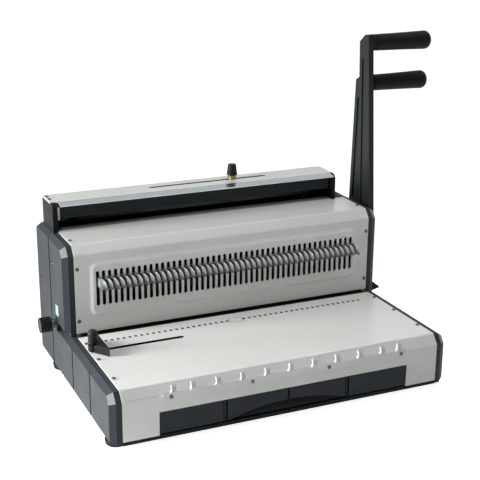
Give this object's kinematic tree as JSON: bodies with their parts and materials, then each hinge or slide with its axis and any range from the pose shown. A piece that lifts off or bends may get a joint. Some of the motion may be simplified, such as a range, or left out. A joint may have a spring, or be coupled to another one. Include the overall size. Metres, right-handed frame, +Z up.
{
  "type": "coil and wire binding machine",
  "caption": "Desk binding machine with a slotted hook panel, a paper table, a hole punch behind it, a wire closer on top, a waste drawer and side levers.",
  "frame": {"origin": "middle of the part's outline, on the desk under the rubber feet", "axes": "+X along the row of holes towards the levers, +Y towards the back, +Z up"},
  "size_m": [0.472, 0.2568, 0.3432],
  "materials": {
    "white_sheet": "satin white powder coat",
    "cap_plastic": "dark charcoal satin moulded plastic",
    "black_sheet": "black satin powder coat",
    "lever_paint": "dark grey satin paint on steel bar",
    "grip_rubber": "black moulded grip",
    "foot_rubber": "black rubber",
    "black_plastic": "black moulded plastic",
    "drawer_plastic": "dark slate moulded plastic",
    "frame_steel": "plain sheet steel",
    "tool_steel": "ground tool steel",
    "bright_steel": "bright bare steel",
    "screw_steel": "dark zinc plated",
    "brass": "turned brass",
    "bronze": "sintered bronze",
    "peg_white": "white moulded plastic"
  },
  "bodies": {
    "machine_body": {"base_plate": "black_sheet", "left_frame": "frame_steel", "right_frame": "frame_steel", "tie_rods": "bright_steel", "left_cap": "cap_plastic", "right_cap": "cap_plastic", "table_cover": "white_sheet", "front_cover": "white_sheet", "rear_cover": "black_sheet", "die_block": "black_sheet", "punch_guide_plate": "tool_steel", "throat_spacers": "bright_steel", "guide_posts": "bright_steel", "shaft_bushes": "bronze", "closer_anvil": "black_sheet", "closer_guides": "bright_steel", "closer_end_left": "black_sheet", "closer_end_right": "black_sheet", "closer_back": "black_sheet", "closer_lip": "bright_steel", "top_cover": "white_sheet", "drawer_runners": "bright_steel", "peg_strip": "peg_white", "side_bracket": "black_sheet", "feet": "foot_rubber", "panel_screws": "screw_steel", "table_screws": "screw_steel", "front_screws": "screw_steel", "top_screws": "screw_steel", "cap_screws": "screw_steel"},
    "punch_lever": {"punch_shaft": "bright_steel", "punch_pinions": "bronze", "punch_lever": "lever_paint", "punch_grip": "grip_rubber", "punch_grip_stud": "bright_steel", "punch_lever_bolt": "screw_steel"},
    "punch_ram": {"punch_ram": "tool_steel", "punch_pins": "bright_steel"},
    "bind_lever": {"bind_shaft": "bright_steel", "bind_pinions": "bronze", "bind_lever": "lever_paint", "bind_grip": "grip_rubber", "bind_grip_stud": "bright_steel", "bind_lever_bolt": "screw_steel"},
    "hook_carriage": {"hook_comb": "bright_steel", "hook_arms": "frame_steel"},
    "closing_bar": {"closing_bar": "black_sheet"},
    "drawer": {"drawer_tray": "black_plastic", "drawer_front": "drawer_plastic"},
    "paper_guide": {"paper_guide": "black_plastic"},
    "guide_clamp": {"guide_clamp_knob": "black_plastic"},
    "margin_control": {"margin_shaft": "bright_steel", "margin_cams": "tool_steel", "margin_collar": "brass", "margin_knob": "black_plastic"},
    "size_stop": {"size_slider": "bright_steel", "size_collar": "brass"},
    "size_knob": {"size_knob": "black_plastic"}
  },
  "joints": [
    {"name": "punch_lever_pull", "type": "hinge", "parent": "machine_body", "child": "punch_lever", "pos_m": [-0.037, 0.0513, 0.1305], "axis": [1, 0, 0], "range_deg": [0, 75]},
    {"name": "punch_ram_slide", "type": "slide", "parent": "machine_body", "child": "punch_ram", "axis": [0, 0, -1], "range_m": [0, 0.0122]},
    {"name": "bind_lever_push", "type": "hinge", "parent": "machine_body", "child": "bind_lever", "pos_m": [-0.037, 0.0891, 0.1305], "axis": [-1, 0, 0], "range_deg": [0, 60]},
    {"name": "hook_slide", "type": "slide", "parent": "machine_body", "child": "hook_carriage", "axis": [0, 0, -1], "range_m": [0, 0.0192]},
    {"name": "closing_bar_slide", "type": "slide", "parent": "machine_body", "child": "closing_bar", "axis": [0, 0, -1], "range_m": [0, 0.0097]},
    {"name": "drawer_slide", "type": "slide", "parent": "machine_body", "child": "drawer", "axis": [0, -1, 0], "range_m": [0, 0.15]},
    {"name": "paper_guide_slide", "type": "slide", "parent": "machine_body", "child": "paper_guide", "axis": [1, 0, 0], "range_m": [0, 0.09]},
    {"name": "guide_clamp_turn", "type": "hinge", "parent": "paper_guide", "child": "guide_clamp", "pos_m": [-0.2025, -0.0216, 0.074], "axis": [0, 0, 1], "range_deg": [0, 270]},
    {"name": "margin_turn", "type": "hinge", "parent": "machine_body", "child": "margin_control", "pos_m": [-0.23, 0.0584, 0.0617], "axis": [-1, 0, 0], "range_deg": [0, 180]},
    {"name": "size_slide", "type": "slide", "parent": "machine_body", "child": "size_stop", "axis": [1, 0, 0], "range_m": [-0.095, 0.038]},
    {"name": "size_knob_turn", "type": "hinge", "parent": "size_stop", "child": "size_knob", "pos_m": [0.001, 0.1034, 0.194], "axis": [0, 0, 1], "range_deg": [0, 270]}
  ],
  "couplings": [
    {"joint": "punch_ram_slide", "follows": "punch_lever_pull", "m_per_rad": 0.009},
    {"joint": "hook_slide", "follows": "bind_lever_push", "m_per_rad": 0.018},
    {"joint": "closing_bar_slide", "follows": "bind_lever_push", "m_per_rad": 0.009}
  ]
}
